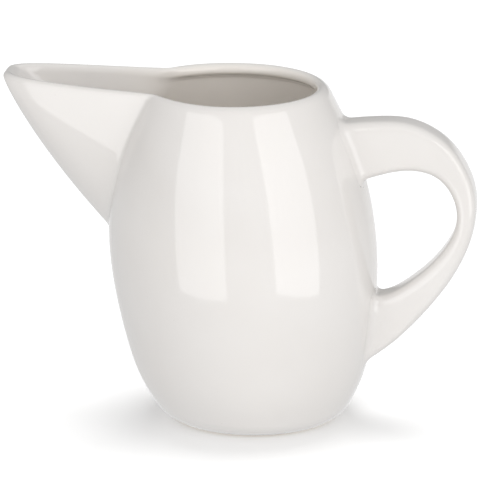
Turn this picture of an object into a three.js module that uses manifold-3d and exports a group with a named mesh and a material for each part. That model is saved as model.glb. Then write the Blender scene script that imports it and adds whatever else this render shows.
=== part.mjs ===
import * as THREE from 'three';
import Module from 'manifold-3d';
import { mergeVertices } from 'three/addons/utils/BufferGeometryUtils.js';
import { ConvexGeometry } from 'three/addons/geometries/ConvexGeometry.js';

const wasm = await Module();
wasm.setup();

// Sizes in millimetres. The pot stands on z = 0, the spout points to -X and the handle to +X.

// body: an egg-shaped wall that leans a little towards the spout
const bodyHeight = 151;
const bodyLean = 0.064;
const wall = 4;
const floorThickness = 5;
const roundSteps = 48;
const bodyRadii = [
  [36.5, 0], [42, 4], [50, 18], [56.2, 42], [59.7, 74], [58, 100], [50.2, 132], [41.6, bodyHeight],
];
const bodyRows = 14;
const lipRadius = 2;
const lipDepth = 4.5;

// foot ring: the bare ring the pot stands on
const footHeight = 2.4;
const footInnerRadius = 30;
const footOuterRadius = 36.6;
const footFlare = 3.4;
const footChamfer = 0.6;

// spout: a scoop whose width and depth grow from the tip towards the body
const tipX = -112;
const tipHeight = 155.8;
const spoutLength = 68.5;
const spoutHalfWidth = 25;
const spoutWidthPower = 0.25;
const spoutFullDepth = 90;
const spoutDepthPower = 0.72;
const spoutSideRound = 3;
const spoutSidePower = 0.8;
const spoutWall = 3.4;
const keelStretch = 1.6;
const spoutStations = [0.004, 0.02, 0.06, 0.14, 0.28, 0.46, 0.7, 1, 1.3];
const spoutSideSteps = 8;

// handle: one tapering strap, deep where it meets the body and thin at the outside
const handleWidth = 18;
const handleRound = 3.4;
const handleOuter = [
  [32, 135.5], [53, 138], [66, 138], [81, 132.3], [93.6, 119],
  [99, 100], [95.4, 80], [77.8, 51.8], [51.5, 27.7], [36, 23],
];
const handleInner = [
  [38, 60], [50, 58.5], [58, 57.8], [67, 62.7], [83, 77.5],
  [90.4, 95], [86, 109], [72, 115.7], [51, 111.6], [38, 108],
];
const handleSteps = 22;

// joints: the gap kept between neighbours, and the bead of slip round each joint
const gap = 0.3;
const beadRise = 1.5;
const beadWidth = 2.4;

// Turn a closed three.js geometry into a solid for joining and cutting.
function solid(geometry) {
  const bare = geometry.clone();
  bare.deleteAttribute('normal');
  bare.deleteAttribute('uv');
  const merged = mergeVertices(bare, 1e-4);
  const index = merged.index.array;
  const kept = [];
  for (let i = 0; i < index.length; i += 3) {
    const [a, b, c] = [index[i], index[i + 1], index[i + 2]];
    if (a !== b && b !== c && c !== a) {
      kept.push(a, b, c);
    }
  }
  return new wasm.Manifold(new wasm.Mesh({
    numProp: 3,
    vertProperties: new Float32Array(merged.attributes.position.array),
    triVerts: new Uint32Array(kept),
  }));
}

function geometryOf(manifold) {
  const mesh = manifold.getMesh();
  const geometry = new THREE.BufferGeometry();
  geometry.setAttribute('position', new THREE.BufferAttribute(new Float32Array(mesh.vertProperties), 3));
  geometry.setIndex(new THREE.BufferAttribute(new Uint32Array(mesh.triVerts), 1));
  return geometry;
}

// Spin a profile of (radius, height) points about the upright axis and lean it towards the spout.
function spun(profile) {
  const geometry = new THREE.LatheGeometry(profile, roundSteps);
  geometry.rotateX(Math.PI / 2);
  geometry.applyMatrix4(new THREE.Matrix4().set(
    1, 0, -bodyLean, 0,
    0, 1, 0, 0,
    0, 0, 1, 0,
    0, 0, 0, 1,
  ));
  return solid(geometry);
}

function bodyCurve() {
  return new THREE.SplineCurve(bodyRadii.map(([radius, height]) => new THREE.Vector2(radius, height)));
}

// The body's outside, grown by a distance and filled in, from the floor to the rim.
function bodyFilled(grow) {
  const side = bodyCurve().getPoints(bodyRows).map((p) => new THREE.Vector2(p.x + grow, p.y));
  const bottom = new THREE.Vector2(0, -grow);
  const bottomEdge = new THREE.Vector2(side[0].x, -grow);
  const topEdge = new THREE.Vector2(side[bodyRows].x, bodyHeight + grow);
  const top = new THREE.Vector2(0, bodyHeight + grow);
  return spun([bottom, bottomEdge, ...side, topEdge, top]);
}

function bodyWall() {
  const curve = bodyCurve();
  const underside = footHeight + gap;
  const shoulder = bodyHeight - lipRadius;
  const outside = curve.getPoints(bodyRows).filter((p) => p.y > underside && p.y < shoulder);
  const floorTop = underside + floorThickness;
  const lowest = outside[0].x - 1.2;
  const rim = curve.getPoint(1);
  const lip = new THREE.EllipseCurve(
    rim.x - lipRadius * 0.8, shoulder, lipRadius, lipRadius, 0, Math.PI * 0.8, false,
  ).getPoints(5);
  const throat = new THREE.Vector2(rim.x - wall, bodyHeight - lipDepth);
  const inside = curve.getPoints(bodyRows)
    .filter((p) => p.y < bodyHeight - lipDepth - 2 && p.y > floorTop + 4)
    .map((p) => new THREE.Vector2(p.x - wall, p.y))
    .reverse();
  const corner = inside[inside.length - 1];
  const cove = new THREE.QuadraticBezierCurve(
    corner, new THREE.Vector2(corner.x - 3, floorTop), new THREE.Vector2(corner.x - 9, floorTop),
  ).getPoints(4).slice(1);
  return spun([
    new THREE.Vector2(0, underside),
    new THREE.Vector2(lowest, underside),
    ...outside,
    ...lip,
    throat,
    ...inside,
    ...cove,
    new THREE.Vector2(0, floorTop),
  ]);
}

function footRing() {
  const profile = [
    new THREE.Vector2(footInnerRadius + footChamfer, 0),
    new THREE.Vector2(footOuterRadius - footChamfer, 0),
    new THREE.Vector2(footOuterRadius, footChamfer),
    new THREE.Vector2(footOuterRadius + footFlare, footHeight),
    new THREE.Vector2(footInnerRadius - 0.5, footHeight),
    new THREE.Vector2(footInnerRadius, footChamfer),
    new THREE.Vector2(footInnerRadius + footChamfer, 0),
  ];
  return spun(profile);
}

// The spout's outside, grown by a distance: half-round scoops on stations from the tip inwards.
// Width goes as a power of the way in from the tip, and so does the depth below the rim line.
function spoutFilled(grow) {
  const points = [];
  const top = tipHeight + 6;
  for (const way of spoutStations) {
    const x = tipX - grow + way * spoutLength;
    const halfWidth = Math.max(spoutHalfWidth * way ** spoutWidthPower + grow, 0.4);
    const depth = Math.max(spoutFullDepth * way ** spoutDepthPower + grow * keelStretch, 0.4);
    for (let i = 0; i <= spoutSideSteps; i += 1) {
      const down = Math.sin((i / spoutSideSteps) * (Math.PI / 2));
      const across = halfWidth * (1 - down ** spoutSideRound) ** spoutSidePower;
      const z = tipHeight - depth * down;
      points.push(new THREE.Vector3(x, across, z), new THREE.Vector3(x, -across, z));
    }
    points.push(new THREE.Vector3(x, halfWidth, top), new THREE.Vector3(x, -halfWidth, top));
  }
  return solid(new ConvexGeometry(points));
}

// A big wedge under the spout's rim line, which drops slowly from the tip to the body.
function belowSpoutRim() {
  const bodyX = tipX + spoutLength;
  const slope = (bodyHeight - tipHeight) / spoutLength;
  const outline = new THREE.Shape();
  outline.moveTo(tipX - 20, 0);
  outline.lineTo(20, 0);
  outline.lineTo(20, bodyHeight);
  outline.lineTo(bodyX, bodyHeight);
  outline.lineTo(tipX - 20, tipHeight - slope * 20);
  return solid(upright(new THREE.ExtrudeGeometry(outline, { depth: 160, bevelEnabled: false }), 160));
}

// Stand an extrusion drawn in (x, height) upright and centre it across the width.
function upright(geometry, width) {
  geometry.translate(0, 0, -width / 2);
  geometry.rotateX(Math.PI / 2);
  return geometry;
}

function handleFilled(grow) {
  const outer = new THREE.SplineCurve(handleOuter.map(([x, z]) => new THREE.Vector2(x, z)));
  const inner = new THREE.SplineCurve(handleInner.map(([x, z]) => new THREE.Vector2(x, z)));
  const outline = new THREE.Shape([...outer.getPoints(handleSteps), ...inner.getPoints(handleSteps)]);
  const straight = handleWidth - 2 * handleRound;
  const geometry = new THREE.ExtrudeGeometry(outline, {
    depth: straight,
    bevelThickness: handleRound + grow,
    bevelSize: handleRound + grow,
    bevelOffset: -handleRound,
    bevelSegments: 3,
  });
  return solid(upright(geometry, straight));
}

const bodySpace = bodyFilled(gap);
const channel = spoutFilled(-spoutWall);
const spoutLimit = belowSpoutRim();
const slip = bodyFilled(beadRise).subtract(bodySpace);
const spoutBead = spoutFilled(beadWidth).subtract(spoutFilled(gap)).intersect(slip).intersect(spoutLimit);
const handleBeads = handleFilled(beadWidth).subtract(handleFilled(gap)).intersect(slip).decompose();
const [upperBead, lowerBead] = handleBeads;

const glaze = { color: 0xf2f0ec, roughness: 0.12, metalness: 0 };
const clay = { color: 0xe6e0d4, roughness: 0.75, metalness: 0 };

const pieces = [
  ['body', bodyWall().subtract(channel), glaze],
  ['foot_ring', footRing(), clay],
  ['spout', spoutFilled(0).subtract(channel).subtract(bodySpace).intersect(spoutLimit), glaze],
  ['spout_seam', spoutBead, glaze],
  ['handle', handleFilled(0).subtract(bodySpace), glaze],
  ['handle_upper_seam', upperBead, glaze],
  ['handle_lower_seam', lowerBead, glaze],
];

const pitcher = new THREE.Group();
pitcher.name = 'ceramic_pitcher';
for (const [name, manifold, look] of pieces) {
  const mesh = new THREE.Mesh(geometryOf(manifold), new THREE.MeshStandardMaterial(look));
  mesh.name = name;
  pitcher.add(mesh);
}

// Put the origin on the floor at the middle of the whole length.
const middle = new THREE.Box3().setFromObject(pitcher).getCenter(new THREE.Vector3());
for (const mesh of pitcher.children) {
  mesh.geometry.translate(-middle.x, 0, 0);
}

export default pitcher;
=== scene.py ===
import math
import bpy
import numpy as np
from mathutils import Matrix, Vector


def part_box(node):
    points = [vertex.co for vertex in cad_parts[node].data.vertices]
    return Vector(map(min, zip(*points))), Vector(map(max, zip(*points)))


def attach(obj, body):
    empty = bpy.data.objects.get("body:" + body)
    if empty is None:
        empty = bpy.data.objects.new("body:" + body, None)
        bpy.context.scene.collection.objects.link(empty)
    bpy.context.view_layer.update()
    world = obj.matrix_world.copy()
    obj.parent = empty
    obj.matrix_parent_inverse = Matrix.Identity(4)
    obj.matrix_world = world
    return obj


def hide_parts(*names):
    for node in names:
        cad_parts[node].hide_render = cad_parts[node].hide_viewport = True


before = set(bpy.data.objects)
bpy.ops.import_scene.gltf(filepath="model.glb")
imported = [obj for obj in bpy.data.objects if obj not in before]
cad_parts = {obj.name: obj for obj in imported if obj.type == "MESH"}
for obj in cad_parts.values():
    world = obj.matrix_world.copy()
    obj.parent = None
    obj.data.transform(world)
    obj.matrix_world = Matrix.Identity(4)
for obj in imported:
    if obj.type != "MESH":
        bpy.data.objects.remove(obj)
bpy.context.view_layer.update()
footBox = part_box("foot_ring")
mm = 0.001
footX = (footBox[0][0] + footBox[1][0]) / 2 / mm   # middle of the foot, in mm from the origin
print("frame loaded, foot at x =", round(footX, 2), "mm")

# All the shapes are worked out in mm from the middle of the foot and moved at the end.

pot = {
    "lean": 0.064,             # how far the body leans to the spout, per mm of height
    "rimHeight": 151.3,
    "wall": 4.0,
    "underside": 2.4,
    "floorTop": 7.7,
    # height, radius of the outer wall
    "profile": [(0.8, 37.2), (2.5, 40.0), (8, 44.8), (18, 49.9), (32.7, 54.3), (51, 57.6),
                (71.5, 59.6), (92, 59.0), (112.5, 55.8), (133, 49.9), (145, 44.75), (149, 42.9),
                (151.2, 41.6), (156, 38.0)],
    # share of the wall's thickness inward, height from the rim: the rolled mouth, the plain spout
    "mouthLip": [(0, -3.0), (0.06, -1.1), (0.34, 0), (0.76, -0.2), (1.15, -0.9), (1.45, -2.0),
                 (1.6, -3.0), (1.64, -3.8), (1.54, -4.5), (1.25, -5.4), (1.0, -7.2)],
    "spoutLip": [(0, -2.4), (0.1, -0.8), (0.42, 0), (0.74, -0.3), (0.93, -1.5), (1.0, -3.0),
                 (1.0, -4.4), (1.0, -5.8), (1.0, -7.2)],
    "lipChange": (20.0, 60.0),   # degrees from the spout over which one turns into the other
    "lipRows": 44,
    "lipPasses": 4,            # times that the lip's heights are brought onto the rim line
    "coveSize": 11.0,          # height of the rounded corner between the wall and the floor
    "coveRows": 9,
    "coveReach": 0.8,          # share of the wall's radius at which it meets the floor
    "underRings": (0.02, 0.3, 0.6, 0.8, 0.93),
    "floorRings": (0.75, 0.5, 0.25, 0.02),
    "rows": 96,
    "spoutColumns": 110,       # on each side of the spout
    "bodyColumns": 56,         # on each side of the rest
    "spoutAngle": 44.0,        # half the angle that the spout's piece takes from the body, degrees
    "spoutRoot": 82.0,         # height at which that piece starts
}

spout = {
    "tipX": -112.0,
    "tipHeight": 155.8,
    "rimFall": 100.0,          # how far in from the tip the rim goes on falling
    "rimPower": 1.5,
    "length": 68.5,
    "halfWidth": 25.0,
    "widthPower": 0.25,
    "fullDepth": 90.0,
    "depthPower": 0.72,
    "sideRound": 3.0,
    "sidePower": 0.8,
    "fillet": (1.8, 9.0),      # rounding where it meets the body, outside and inside
    "wall": 3.4,
    "keelWall": 5.5,
    "tipWall": 4.0,
    "nearest": 0.3,            # limits of the search for its skin: a share of the body's radius,
    "farthest": 130.0,         # and a distance from the leaning axis
    "halvings": 40,
}


# A natural cubic spline: second slopes from one small linear system, then cubic pieces.
def smoothCurve(knots, at):
    x, y = np.array(knots, float).T
    n, h = len(x), np.diff(x)
    a = np.eye(n)
    b = np.zeros(n)
    inner = np.arange(1, n - 1)
    a[inner, inner - 1] = h[:-1]
    a[inner, inner] = 2 * (h[:-1] + h[1:])
    a[inner, inner + 1] = h[1:]
    b[inner] = 6 * (np.diff(y)[1:] / h[1:] - np.diff(y)[:-1] / h[:-1])
    m = np.linalg.solve(a, b)
    at = np.asarray(at, float)
    k = np.clip(np.searchsorted(x, at) - 1, 0, n - 2)
    t, s = at - x[k], x[k + 1] - at
    return ((m[k] * s ** 3 + m[k + 1] * t ** 3) / (6 * h[k])
            + (y[k] / h[k] - m[k] * h[k] / 6) * s + (y[k + 1] / h[k] - m[k + 1] * h[k] / 6) * t)


# Height of the rim line: the tip's rise over the mouth falls off as a power of the way left.
def spoutRim(x):
    left = np.clip(1 - (x - spout["tipX"]) / spout["rimFall"], 0, 1)
    return pot["rimHeight"] + (spout["tipHeight"] - pot["rimHeight"]) * left ** spout["rimPower"]


# Half the scoop's width at x and height z: width and depth are powers of the way in from
# the tip, and each section narrows downwards as (1 - f^round)^power, f being the part of the depth.
# Inside the wall the same scoop is smaller by its wall at the sides, the keel and the tip.
def spoutHalf(x, z, inward):
    way = np.clip((x - spout["tipX"] - inward * spout["tipWall"]) / spout["length"], 0, None)
    width = spout["halfWidth"] * way ** spout["widthPower"] - inward * spout["wall"]
    depth = spout["fullDepth"] * way ** spout["depthPower"] - inward * spout["keelWall"]
    f = np.clip((spoutRim(x) - z) / np.maximum(depth, 1e-6), 0, 1)
    return width * (1 - f ** spout["sideRound"]) ** spout["sidePower"]


# Distance from the leaning axis to the skin, outside (inward 0) or inside the wall (inward 1):
# the larger of the body's radius and the scoop's reach in that direction, rounded into each other.
def potRadius(angle, z, inward):
    body = smoothCurve(pot["profile"], z) - inward * pot["wall"]
    near, far = body * spout["nearest"], np.full_like(body, spout["farthest"])
    for _ in range(spout["halvings"]):    # halving: the reach is where the ray leaves the scoop
        mid = (near + far) / 2
        x = -pot["lean"] * z - mid * np.cos(angle)
        held = (np.abs(mid * np.sin(angle)) < spoutHalf(x, z, inward)) & (np.cos(angle) > 0)
        near, far = np.where(held, mid, near), np.where(held, far, mid)
    k = spout["fillet"][inward]
    h = np.clip(0.5 + 0.5 * (near - body) / k, 0, 1)
    return body * (1 - h) + near * h + k * h * (1 - h)


# The point at a distance from the leaning axis, in a direction counted from the spout's.
def axisPoint(angle, z, r):
    return np.stack([-pot["lean"] * z - r * np.cos(angle), r * np.sin(angle), z], -1)


# Angles from the spout's direction right round: close together across the spout.
def columnAngles():
    edge = math.radians(pot["spoutAngle"])
    first = np.linspace(0, edge, pot["spoutColumns"] + 1)
    t = np.linspace(0, 1, pot["bodyColumns"] + 1)[1:]
    slow = first[1] * pot["bodyColumns"]
    rest = edge + slow * t + (math.pi - edge - slow) * t ** 2
    half = np.concatenate([first, rest])
    return np.concatenate([half, 2 * math.pi - half[-2:0:-1]])


# Rows of one height after another from a level up to a top, at every direction.
def skinRows(angle, low, top, count, inward):
    z = low + (top[None, :] - low) * np.linspace(0, 1, count)[:, None]
    angle = np.repeat(angle[None, :], count, 0)
    return axisPoint(angle, z, potRadius(angle, z, inward))


# Points spread evenly along a smooth line through (share of the wall, height) knots.
def lipLine(knots):
    knots = np.array(knots, float)
    steps = np.linalg.norm(np.diff(knots * [pot["wall"], 1], axis=0), axis=1)
    way = np.concatenate([[0], np.cumsum(steps)])
    t = np.linspace(0, way[-1], pot["lipRows"])
    return np.stack([smoothCurve(np.stack([way, knots[:, i]], 1), t) for i in (0, 1)], -1)[:, None, :]


# The lip's rows go round the rim: each point lies part of the way from the outer skin to the
# inner one at its height. The mouth's rolled line turns into the spout's plain one near the spout.
def lipRows(angle):
    turn = np.degrees(np.minimum(angle, 2 * math.pi - angle))
    first, last = pot["lipChange"]
    share = np.clip((last - turn) / (last - first), 0, 1)
    share = (share ** 2 * (3 - 2 * share))[None, :, None]
    line = lipLine(pot["mouthLip"]) * (1 - share) + lipLine(pot["spoutLip"]) * share
    angle = np.repeat(angle[None, :], len(line), 0)
    level = pot["rimHeight"] + line[..., 1]
    for _ in range(pot["lipPasses"]):
        outer, inner = potRadius(angle, level, 0), potRadius(angle, level, 1)
        lip = axisPoint(angle, level, outer + (inner - outer) * line[..., 0])
        level = spoutRim(lip[..., 0]) + line[..., 1]
    return axisPoint(angle, level, outer + (inner - outer) * line[..., 0])


# Copies of a ring drawn in towards its middle, at one height.
def disc(ring, height, shares):
    centre = ring.mean(0)
    rows = centre + (ring[None] - centre) * np.array(shares)[:, None, None]
    rows[..., 2] = height
    return rows


# The closed wall as one grid of rings: underside, outer skin, lip, inner skin, a quarter of an
# ellipse for the cove, and floor. Also gives which rows are the outer skin and which the inner one.
def potGrid():
    angle = columnAngles()
    lip = lipRows(angle)
    low = pot["profile"][0][0]
    skin = skinRows(angle, low, lip[0, :, 2], pot["rows"], 0)[:-1]
    inside = skinRows(angle, pot["floorTop"] + pot["coveSize"], lip[-1, :, 2], pot["rows"], 1)[-2::-1]
    under = disc(skin[0], pot["underside"], pot["underRings"])
    ring = inside[-1]
    t = np.linspace(0, math.pi / 2, pot["coveRows"])[1:, None, None]
    flat = disc(ring, pot["floorTop"], (pot["coveReach"],))[0]
    cove = ring + (flat - ring) * [1, 1, 0] * (1 - np.cos(t)) + (flat - ring) * [0, 0, 1] * np.sin(t)
    floor = disc(flat, pot["floorTop"], pot["floorRings"])
    grid = np.concatenate([under, skin, lip, inside, cove, floor])
    outsideAt = len(under) + np.arange(len(skin))
    insideAt = len(under) + len(skin) + len(lip) + np.arange(len(inside))
    return grid, outsideAt, insideAt


# Cross product of each face's diagonals, or of a triangle's two sides.
def faceNormals(points, group):
    corner = points[group]
    if group.shape[1] == 4:
        return np.cross(corner[:, 2] - corner[:, 0], corner[:, 3] - corner[:, 1])
    return np.cross(corner[:, 1] - corner[:, 0], corner[:, 2] - corner[:, 0])


# Each point's normal: the sum of its faces' cross products, made one unit long.
def surfaceNormals(points, groups):
    total = np.zeros_like(points)
    for group in groups:
        cross = faceNormals(points, group)
        np.add.at(total, group, cross[:, None])
    return total / np.maximum(np.linalg.norm(total, axis=1, keepdims=True), 1e-12)


# One closed mesh in the frame's metres from groups of faces. The smooth groups take the
# normals of the whole surface they are cut from, the flat ones keep their own facets.
def addPiece(name, points, smooth, flat, normals, material, marks):
    groups = [*smooth, *flat]
    sizes = np.concatenate([np.full(len(g), g.shape[1]) for g in groups])
    used, corners = np.unique(np.concatenate([g.ravel() for g in groups]), return_inverse=True)
    shade = [normals[g.ravel()] for g in smooth]
    shade += [np.repeat(faceNormals(points, g), g.shape[1], 0) for g in flat]
    mesh = bpy.data.meshes.new(name)
    mesh.vertices.add(len(used))
    mesh.loops.add(len(corners))
    mesh.polygons.add(len(sizes))
    mesh.vertices.foreach_set("co", ((points[used] + [footX, 0, 0]) * mm).astype(np.float32).ravel())
    mesh.loops.foreach_set("vertex_index", corners.astype(np.int32).ravel())
    starts = np.concatenate([[0], np.cumsum(sizes)[:-1]])
    mesh.polygons.foreach_set("loop_start", starts.astype(np.int32))
    mesh.update(calc_edges=True)
    mesh.polygons.foreach_set("use_smooth", np.arange(len(sizes)) < sum(len(g) for g in smooth))
    mesh.normals_split_custom_set(np.concatenate(shade).tolist())
    for label, values in marks.items():
        mark = mesh.attributes.new(label, "FLOAT", "POINT")
        mark.data.foreach_set("value", values[used].astype(np.float32))
    mesh.materials.append(material)
    obj = bpy.data.objects.new(name, mesh)
    bpy.context.scene.collection.objects.link(obj)
    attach(obj, "root")
    print(name, len(used), "points,", int((sizes - 2).sum()), "triangles")
    return obj


# Four corners of each cell of a grid that closes on itself sideways, facing out.
def gridCells(rows, columns):
    i = np.arange(rows - 1)[:, None]
    j = np.arange(columns)[None, :]
    k = (j + 1) % columns
    return np.stack([i * columns + j, (i + 1) * columns + j, (i + 1) * columns + k, i * columns + k], -1)


# Triangles that close the first and last rings of a grid onto two added points.
def endFans(rows, columns):
    n = rows * columns
    j = np.arange(columns)
    k = (j + 1) % columns
    return (np.stack([np.full(columns, n), j, k], -1),
            np.stack([np.full(columns, n + 1), n - columns + k, n - columns + j], -1))


# A grid of rings made into one closed surface: its points, cells, end fans and normals.
def closedGrid(grid):
    rows, columns = grid.shape[:2]
    points = np.concatenate([grid.reshape(-1, 3), grid[0].mean(0)[None], grid[-1].mean(0)[None]])
    cells = gridCells(rows, columns)
    fans = endFans(rows, columns)
    return points, cells, fans, surfaceNormals(points, [cells.reshape(-1, 4), *fans])


# Where the spout is cut from the wall: up each side a strip that pairs the rows of the two
# skins from below, ending in one triangle if a row is left over, and a strip along the bottom.
def cutFaces(columns, top, end, across):
    count = end - top
    step = np.arange((count - 1) // 2 if count % 2 == 0 else count // 2)
    quads, last = [], []
    for column, flip in ((across[-1], 1), (across[0], -1)):
        outer, inner = top + step, end - step
        quads.append(np.stack([outer, inner, inner - 1, outer + 1], -1)[:, ::flip] * columns + column)
        if count % 2 == 0:
            row = top + count // 2
            last.append(np.array([[row - 1, row + 1, row]])[:, ::flip] * columns + column)
    left, right = across[:-1], across[1:]
    quads.append(np.stack([top * columns + left, end * columns + left,
                           end * columns + right, top * columns + right], -1))
    return [np.concatenate(quads), *last]


# Where the painted light on the inner wall starts, a lighter and warmer tone than the outside's, and over
# how much it comes in.
paintedInsideLight = {
    # the painted light starts at about the lip's crest, so the lip's inner roll is painted lighter too
    "lip": (-34, 12),          # in rows, counted from the first row under the lip
    "deep": (10, 30),          # in rows too: from here down it is in the spout's direction as well
    "turn": (14, 30),          # in degrees from the spout's direction
}


# From 0 to 1 over a (start, length) pair.
def fadeIn(at, start, length):
    return np.clip((at - start) / length, 0, 1)


# How much painted light each point takes: a lighter, warmer tone standing in for light the hollow gets too
# little of. It comes in down from the lip, and fades out towards the spout's channel, which stays as white
# as the outside.
def paintedInsideLightMark(grid, insideAt, count):
    rows, columns = grid.shape[:2]
    inside = np.ones(count)
    step = np.arange(rows) - insideAt[0]
    turn = np.degrees(columnAngles())
    row = fadeIn(step, *paintedInsideLight["lip"])[:, None]
    deep = fadeIn(step, *paintedInsideLight["deep"])[:, None]
    side = fadeIn(np.minimum(turn, 360 - turn), *paintedInsideLight["turn"])[None, :]
    inside[:rows * columns] = (row * np.maximum(side, deep)).ravel()
    inside[-2] = 0                        # the middle of the underside
    return {"inside": inside}


# The body and the spout, cut from one wall so that nothing shows between them. The cut faces
# belong to both, turned over for the spout.
def buildPot(material):
    grid, outsideAt, insideAt = potGrid()
    points, cells, fans, normals = closedGrid(grid)
    columns = grid.shape[1]
    top = int(outsideAt[np.argmax(grid[outsideAt, 0, 2] > pot["spoutRoot"])])
    end = int(insideAt[np.argmax(grid[insideAt, 0, 2] < pot["spoutRoot"])])
    across = np.arange(-pot["spoutColumns"], pot["spoutColumns"] + 1) % columns
    isSpout = np.zeros(cells.shape[:2], bool)
    isSpout[top:end, across[:-1]] = True
    cut = cutFaces(columns, top, end, across)
    marks = paintedInsideLightMark(grid, insideAt, len(points))
    turned = [group[:, ::-1] for group in cut]
    body = addPiece("pitcher_body", points, [cells[~isSpout], *fans], cut, normals, material, marks)
    scoop = addPiece("pitcher_spout", points, [cells[isSpout]], turned, normals, material, marks)
    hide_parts("body")
    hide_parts("spout", "spout_seam")


foot = {
    # radius, height round the bare ring
    "profile": [(30.4, 0.25), (31.2, 0), (35.4, 0), (36.4, 0.35), (36.9, 0.9), (37.1, 1.6), (36.9, 2.6),
                (30.6, 2.6), (30.0, 2.2), (29.8, 1.4), (30.0, 0.7)],
    "around": 160,
}


# The ring's section spun round the foot's middle, each point leaning with its height.
def buildFoot(material):
    section = np.array(foot["profile"])
    turn = np.linspace(0, 2 * math.pi, foot["around"], endpoint=False)[:, None]
    radius, height = section[None, :, 0], section[None, :, 1] + 0 * turn
    grid = np.stack([radius * np.cos(turn) - pot["lean"] * height, radius * np.sin(turn), height], -1)
    rows, columns = grid.shape[:2]
    i, j = np.arange(rows)[:, None], np.arange(columns)[None, :]
    k, m = (i + 1) % rows, (j + 1) % columns
    cells = np.stack([i * columns + j, k * columns + j, k * columns + m, i * columns + m], -1).reshape(-1, 4)
    points = grid.reshape(-1, 3)
    ring = addPiece("pitcher_foot_ring", points, [cells], [], surfaceNormals(points, [cells]), material, {})
    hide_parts("foot_ring")


handle = {
    "width": 18.0,
    "round": 4.6,
    "roundLimit": 0.97,        # the corner's largest share of the section's half depth
    "square": 4.5,             # the larger, the faster the section's sides straighten
    # way along, x, height of the outer and the inner line of the strap
    "outer": [(0, 30, 135.2), (1, 42, 136.9), (2, 53, 138), (3, 64, 138.2), (4, 74.5, 135.8),
              (5, 85.5, 129.2), (6, 93.6, 119), (7, 98.4, 107), (8, 98.8, 93.5), (9, 95.4, 80),
              (10, 88.3, 66), (11, 77.8, 51.8), (12, 64, 37.2), (13, 51.5, 27.7), (14, 40, 20.5)],
    "inner": [(0, 36, 106.5), (1.3, 51, 111.6), (2.3, 61, 114.6), (3.3, 70, 115.8), (4.4, 79.5, 114),
              (5.4, 85.8, 109), (6.5, 89.8, 101), (7.8, 90, 91), (9, 86, 82), (10.2, 78.5, 72.5),
              (11.6, 67, 62.7), (12.6, 58.5, 58.4), (14, 40, 56)],
    "rows": 170,
    "columns": 96,
    "fineRows": 1401,          # sections tried to find where the strap meets the body
    "filletTop": 2.2,          # along the strap's outer and inner faces
    "filletSide": 5.0,         # down its two flanks
    "filletPower": 0.7,        # how one turns into the other round the section
    "filletRows": 10,
    "sink": 0.05,              # how far the fillet's edge lies in the body's skin
    "tuck": (0.4, -1.3),       # the ring behind it: share of the way back, distance off the skin
}


# The strap's sections stand between a point of its outer line and one of its inner line:
# a circle of the corner's size, moved out along each axis by a tanh of the circle's own part,
# as far as the section's reach.
def strapPoints(t):
    outer, inner = np.array(handle["outer"]), np.array(handle["inner"])
    a = np.stack([smoothCurve(outer[:, (0, i)], t) for i in (1, 2)], -1)
    b = np.stack([smoothCurve(inner[:, (0, i)], t) for i in (1, 2)], -1)
    half = np.linalg.norm(a - b, axis=-1, keepdims=True) / 2
    across = (a - b) / (2 * half)
    corner = np.minimum(handle["round"], half * handle["roundLimit"])
    turn = np.linspace(0, 2 * math.pi, handle["columns"], endpoint=False)[None, :]
    c, s = np.cos(turn), np.sin(turn)
    u = corner * c + (half - corner) * np.tanh(c * handle["square"])
    v = corner * s + (handle["width"] / 2 - corner) * np.tanh(s * handle["square"])
    middle = (a + b) / 2
    return np.stack([middle[:, :1] + across[:, :1] * u, v + 0 * u, middle[:, 1:] + across[:, 1:] * u], -1)


# How far each point is outside the body's skin, measured level from its leaning axis.
def offBody(points):
    x = points[..., 0] + pot["lean"] * points[..., 2]
    return np.hypot(x, points[..., 1]) - smoothCurve(pot["profile"], points[..., 2])


# Points moved level to stand a distance off the body's skin, and the skin's normal there.
def ontoBody(points, out):
    z = points[..., 2]
    x = points[..., 0] + pot["lean"] * z
    reach = np.hypot(x, points[..., 1])
    radius = smoothCurve(pot["profile"], z)
    slope = smoothCurve(pot["profile"], z + 0.5) - smoothCurve(pot["profile"], z - 0.5)   # over 1 mm
    unit = np.stack([x / reach, points[..., 1] / reach], -1)
    normal = np.stack([unit[..., 0], unit[..., 1], -slope + pot["lean"] * unit[..., 0]], -1)
    normal /= np.linalg.norm(normal, axis=-1, keepdims=True)
    moved = np.stack([unit[..., 0] * (radius + out) - pot["lean"] * z, unit[..., 1] * (radius + out), z], -1)
    return moved, normal


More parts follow.
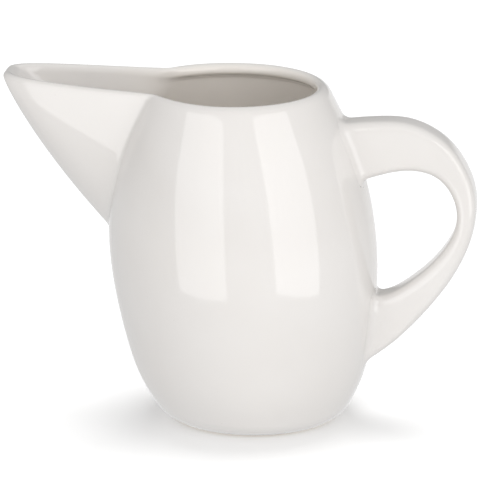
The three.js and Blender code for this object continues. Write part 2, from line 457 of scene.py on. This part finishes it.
# The strap between its two joints, then at each end a fillet: a curve with one pull point
# from the strap, through the line where it meets the body, to the body's own skin.
def handleGrid():
    fine = np.linspace(0, handle["outer"][-1][0], handle["fineRows"])
    strap = strapPoints(fine)
    away = offBody(strap)
    mid = len(fine) // 2
    turn = np.linspace(0, 2 * math.pi, handle["columns"], endpoint=False)
    flank = np.abs(np.sin(turn)) ** handle["filletPower"]
    size = handle["filletTop"] + (handle["filletSide"] - handle["filletTop"]) * flank
    column = np.arange(handle["columns"])

    def at(place):
        row = np.clip(place.astype(int), 0, len(fine) - 2)
        part = (place - row)[..., None]
        return strap[row, column] * (1 - part) + strap[row + 1, column] * part

    def crossing(level, upper):
        beyond = away > level
        if upper:
            row = mid - np.argmax(~beyond[mid::-1], axis=0)
        else:
            row = mid + np.argmax(~beyond[mid:], axis=0) - 1
        return row + (level - away[row, column]) / (away[row + 1, column] - away[row, column])

    ends = []
    for upper in (True, False):
        start, meet = crossing(size, upper), crossing(size * 0, upper)
        a, c = at(start), at(meet)
        around = np.roll(c, -1, 0) - np.roll(c, 1, 0)
        along = a - c
        out = np.cross(around, along)
        out *= np.sign((out * (c - c.mean(0))).sum(-1, keepdims=True))
        skinNormal = ontoBody(c, 0)[1]
        flat = out - (out * skinNormal).sum(-1, keepdims=True) * skinNormal
        flat /= np.linalg.norm(flat, axis=-1, keepdims=True)
        b = ontoBody(c + flat * size[:, None], -handle["sink"])[0]
        t = np.linspace(0, 1, handle["filletRows"])[:, None, None]
        curve = a * (1 - t) ** 2 + c * 2 * t * (1 - t) + b * t ** 2
        back, off = handle["tuck"]
        buried = ontoBody(b + (c - b) * back, off)[0]
        ends.append((start, np.concatenate([curve, buried[None]])))
    (first, upperRows), (last, lowerRows) = ends
    t = np.linspace(0, 1, handle["rows"])[1:-1, None]
    middle = at(first + (last - first) * t)
    return np.concatenate([upperRows[::-1], middle, lowerRows])


# The strap with both fillets, closed inside the wall. None of it takes the inner wall's painted light.
def buildHandle(material):
    points, cells, fans, normals = closedGrid(handleGrid())
    obj = addPiece("pitcher_handle", points, [cells.reshape(-1, 4), *fans], [], normals, material,
                   {"inside": np.zeros(len(points))})
    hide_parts("handle", "handle_upper_seam", "handle_lower_seam")


# A new material, its node tree and its shader.
def newMaterial(name):
    material = bpy.data.materials.new(name)
    material.use_nodes = True
    tree = material.node_tree
    return material, tree, tree.nodes["Principled BSDF"]


# Noise in the piece's own metres.
def noise(tree, scale, detail, rough=0.5):
    place = tree.nodes.get("Texture Coordinate") or tree.nodes.new("ShaderNodeTexCoord")
    texture = tree.nodes.new("ShaderNodeTexNoise")
    texture.inputs["Scale"].default_value = scale
    texture.inputs["Detail"].default_value = detail
    texture.inputs["Roughness"].default_value = rough
    tree.links.new(place.outputs["Object"], texture.inputs["Vector"])
    return texture.outputs["Fac"]


# A value's range from low to high stretched to one from start to end.
def ramp(tree, value, low, high, start, end):
    node = tree.nodes.new("ShaderNodeMapRange")
    for label, number in (("From Min", low), ("From Max", high), ("To Min", start), ("To Max", end)):
        node.inputs[label].default_value = number
    tree.links.new(value, node.inputs["Value"])
    return node.outputs["Result"]


# A colour mix; a and b are colours or sockets.
def blend(tree, factor, a, b):
    node = tree.nodes.new("ShaderNodeMix")
    node.data_type = "RGBA"
    tree.links.new(factor, node.inputs["Factor"])
    for socket, value in ((node.inputs[6], a), (node.inputs[7], b)):
        if isinstance(value, tuple):
            socket.default_value = (*value, 1)
        else:
            tree.links.new(value, socket)
    return node.outputs[2]


# A bump of a strength and a height in metres, on top of another one if there is one.
def addBump(tree, value, strength, height, under=None):
    node = tree.nodes.new("ShaderNodeBump")
    node.inputs["Strength"].default_value = strength
    node.inputs["Distance"].default_value = height
    tree.links.new(value, node.inputs["Height"])
    if under is not None:
        tree.links.new(under, node.inputs["Normal"])
    return node.outputs["Normal"]


glazeLook = {
    "white": (0.805, 0.780, 0.757),
    "cloud": (0.785, 0.757, 0.730),
    # the inner wall's painted light: lighter and warmer than the white, standing in for light and warm
    # bounce that the hollow gets too little of
    "inside": (0.94, 0.895, 0.84),
    "speck": (0.62, 0.58, 0.53),
    "roughness": (0.06, 0.11),
    "coat": 0.5,
    "coatRoughness": 0.03,
    # each noise's scale and detail, and the part of its values that is used
    "cloudNoise": (22, 3),
    "cloudRange": (0.35, 0.7),
    "speckNoise": (900, 1),
    "speckRange": (0.79, 0.83),
    "speckDepth": 0.5,
    "patchNoise": (140, 2),
    "patchRange": (0.3, 0.7),
    "rippleNoise": (45, 1),
    "ripple": (0.25, 0.0006),  # strength, height in metres
    "peelNoise": (700, 2),
    "peel": (0.06, 0.0001),
}


# Clouded white under a clear coat, with painted light inside: a lighter, warmer white on the inner wall and
# lip standing in for light and bounce. Also a few faint specks and a slight ripple.
def whiteGlaze():
    material, tree, shader = newMaterial("white_glaze")
    look = glazeLook
    clouds = ramp(tree, noise(tree, *look["cloudNoise"]), *look["cloudRange"], 0, 1)
    colour = blend(tree, clouds, look["white"], look["cloud"])
    # painted light: the inside mark blends in the lighter, warmer white over the inner wall and the lip's
    # inner roll
    mark = tree.nodes.new("ShaderNodeAttribute")
    mark.attribute_name = "inside"
    colour = blend(tree, mark.outputs["Fac"], colour, look["inside"])
    specks = ramp(tree, noise(tree, *look["speckNoise"]), *look["speckRange"], 0, look["speckDepth"])
    colour = blend(tree, specks, colour, look["speck"])
    tree.links.new(colour, shader.inputs["Base Color"])
    patches = ramp(tree, noise(tree, *look["patchNoise"]), *look["patchRange"], *look["roughness"])
    tree.links.new(patches, shader.inputs["Roughness"])
    shader.inputs["Coat Weight"].default_value = look["coat"]
    shader.inputs["Coat Roughness"].default_value = look["coatRoughness"]
    ripple = addBump(tree, noise(tree, *look["rippleNoise"]), *look["ripple"])
    peel = addBump(tree, noise(tree, *look["peelNoise"]), *look["peel"], ripple)
    tree.links.new(peel, shader.inputs["Normal"])
    return material


clayLook = {
    "pale": (0.72, 0.66, 0.57),
    "dark": (0.62, 0.55, 0.46),
    "roughness": (0.7, 0.9),
    "grainNoise": (1800, 3, 0.7),
    "grainRange": (0.35, 0.65),
    "patchNoise": (300, 2),
    "patchRange": (0.3, 0.7),
    "bump": (0.4, 0.0002),     # strength, height in metres
}


# Unglazed fired clay: pale buff with fine grains, rough all over.
def bareClay():
    material, tree, shader = newMaterial("bare_clay")
    look = clayLook
    grain = ramp(tree, noise(tree, *look["grainNoise"]), *look["grainRange"], 0, 1)
    tree.links.new(blend(tree, grain, look["pale"], look["dark"]), shader.inputs["Base Color"])
    patches = ramp(tree, noise(tree, *look["patchNoise"]), *look["patchRange"], *look["roughness"])
    tree.links.new(patches, shader.inputs["Roughness"])
    tree.links.new(addBump(tree, grain, *look["bump"]), shader.inputs["Normal"])
    return material


glaze = whiteGlaze()
buildPot(glaze)
print("body and spout built")
buildHandle(glaze)
print("handle built")
buildFoot(bareClay())
print("foot ring built")

view = {
    "aim": (-0.25, 0, 80.0),
    "turn": 7.0,
    "rise": 16.2,
    "distance": 2000.0,
    "lens": 336.0,
    "sensor": 36.0,
    "clipEnd": 50.0,           # metres
}

studio = {
    "walls": (0.25, 0.49),     # light from the spout's side and from the handle's
    "below": 0.78,             # up from the floor
    "ceiling": 0.68,           # from overhead
    "backdrop": 0.92,          # and from behind
    # where one of these turns into another, by the X, Z or Y of the direction
    "wallSpan": (-0.9, 0.9),
    "belowSpan": (-0.2, 0.05),
    "ceilingSpan": (0.1, 0.8),
    "backdropRise": (0.0, 0.1),
    "backdropSpan": (0.80, 0.92),
    "floorHalf": 3.0,          # metres
    "floorColor": 0.80,
    "floorGlow": 0.16,
    "floorRough": 0.4,
    "lightsFace": 0.08,        # height of the point they face, metres
    # turn from the camera, rise, how far off, width, height, strength of each light
    "left": (-35, 6.5, 1.0, 0.8, 1.14, 1.3),
    "right": (46.5, 10, 1.0, 0.75, 1.08, 1.45),
    "fill": (6, 30, 1.6, 1.44, 1.12, 0.9),
    "overhead": 2.1,           # strength of the light that only the floor takes
    "overheadTilt": -15,
    "overheadSpread": 38,
}


# The camera looks at a point from a turn, a rise and a distance.
def addCamera():
    turn, rise = math.radians(view["turn"]), math.radians(view["rise"])
    back = Vector((math.sin(turn) * math.cos(rise), -math.cos(turn) * math.cos(rise), math.sin(rise)))
    camera = bpy.data.objects.new("camera", bpy.data.cameras.new("camera"))
    camera.location = (Vector(view["aim"]) + back * view["distance"]) * mm
    camera.rotation_euler = back.to_track_quat("Z", "Y").to_euler()
    camera.data.lens = view["lens"]
    camera.data.sensor_width = view["sensor"]
    camera.data.clip_end = view["clipEnd"]
    bpy.context.scene.collection.objects.link(camera)
    bpy.context.scene.camera = camera


# A rectangular light at an angle from the camera's direction, facing the pitcher.
def addSoftbox(name, shiny):
    turn, rise, away, width, height, strength = studio[name]
    a, e = math.radians(view["turn"] + turn), math.radians(rise)
    back = Vector((math.sin(a) * math.cos(e), -math.cos(a) * math.cos(e), math.sin(e)))
    light = bpy.data.lights.new(name + " softbox", "AREA")
    light.shape = "RECTANGLE"
    light.size, light.size_y = width, height
    light.energy = strength * width * height * math.pi
    lamp = bpy.data.objects.new(name + " softbox", light)
    lamp.location = back * away + Vector((0, 0, studio["lightsFace"]))
    lamp.rotation_euler = back.to_track_quat("Z", "Y").to_euler()
    lamp.visible_glossy = shiny
    bpy.context.scene.collection.objects.link(lamp)


# A white floor that the camera sees, but that neither lights the pitcher nor shows in its glaze.
def addFloor():
    mesh = bpy.data.meshes.new("floor")
    s = studio["floorHalf"]
    mesh.from_pydata([(-s, -s, 0), (s, -s, 0), (s, s, 0), (-s, s, 0)], [], [(0, 1, 2, 3)])
    floor = bpy.data.objects.new("floor", mesh)
    bpy.context.scene.collection.objects.link(floor)
    material = bpy.data.materials.new("studio floor")
    material.use_nodes = True
    shader = material.node_tree.nodes["Principled BSDF"]
    shader.inputs["Base Color"].default_value = (*[studio["floorColor"]] * 3, 1)
    shader.inputs["Roughness"].default_value = studio["floorRough"]
    shader.inputs["Emission Color"].default_value = (1, 1, 1, 1)
    shader.inputs["Emission Strength"].default_value = studio["floorGlow"]
    mesh.materials.append(material)
    floor.visible_glossy = False
    floor.visible_diffuse = False
    return floor


# A broad light from overhead that only the floor takes, so the pitcher shades it close by.
def addOverhead(floor):
    light = bpy.data.lights.new("overhead", "SUN")
    light.energy = studio["overhead"]
    light.angle = math.radians(studio["overheadSpread"])
    lamp = bpy.data.objects.new("overhead", light)
    lamp.rotation_euler = (math.radians(studio["overheadTilt"]), 0, 0)
    bpy.context.scene.collection.objects.link(lamp)
    taking = bpy.data.collections.new("lit from overhead")
    taking.objects.link(floor)
    lamp.light_linking.receiver_collection = taking


# Light from all round. Its strength goes from one wall's to the other's along the direction's X,
# from below's through the walls' to the ceiling's along its Z, and to the backdrop's along its Y.
def addWorld():
    world = bpy.data.worlds.new("studio")
    world.use_nodes = True
    nodes, links = world.node_tree.nodes, world.node_tree.links
    background = nodes["Background"]
    background.inputs["Color"].default_value = (1, 1, 1, 1)
    direction = nodes.new("ShaderNodeTexCoord")
    parts = nodes.new("ShaderNodeSeparateXYZ")
    links.new(direction.outputs["Generated"], parts.inputs[0])

    def rangeOf(axis, low, high, first, last):
        node = nodes.new("ShaderNodeMapRange")
        for label, value in (("From Min", low), ("From Max", high), ("To Min", first), ("To Max", last)):
            if isinstance(value, (int, float)):
                node.inputs[label].default_value = value
            else:
                links.new(value, node.inputs[label])
        links.new(parts.outputs[axis], node.inputs["Value"])
        return node.outputs["Result"]

    walls = rangeOf("X", *studio["wallSpan"], *studio["walls"])
    sides = rangeOf("Z", *studio["belowSpan"], studio["below"], walls)
    upward = rangeOf("Z", *studio["ceilingSpan"], sides, studio["ceiling"])
    behind = rangeOf("Z", *studio["backdropRise"], studio["backdrop"], walls)
    strength = rangeOf("Y", *studio["backdropSpan"], upward, behind)
    links.new(strength, background.inputs["Strength"])
    bpy.context.scene.world = world


addCamera()
addSoftbox("left", True)
addSoftbox("right", True)
addSoftbox("fill", False)
addOverhead(addFloor())
addWorld()
bpy.context.scene.view_settings.view_transform = "Standard"
print("studio set")
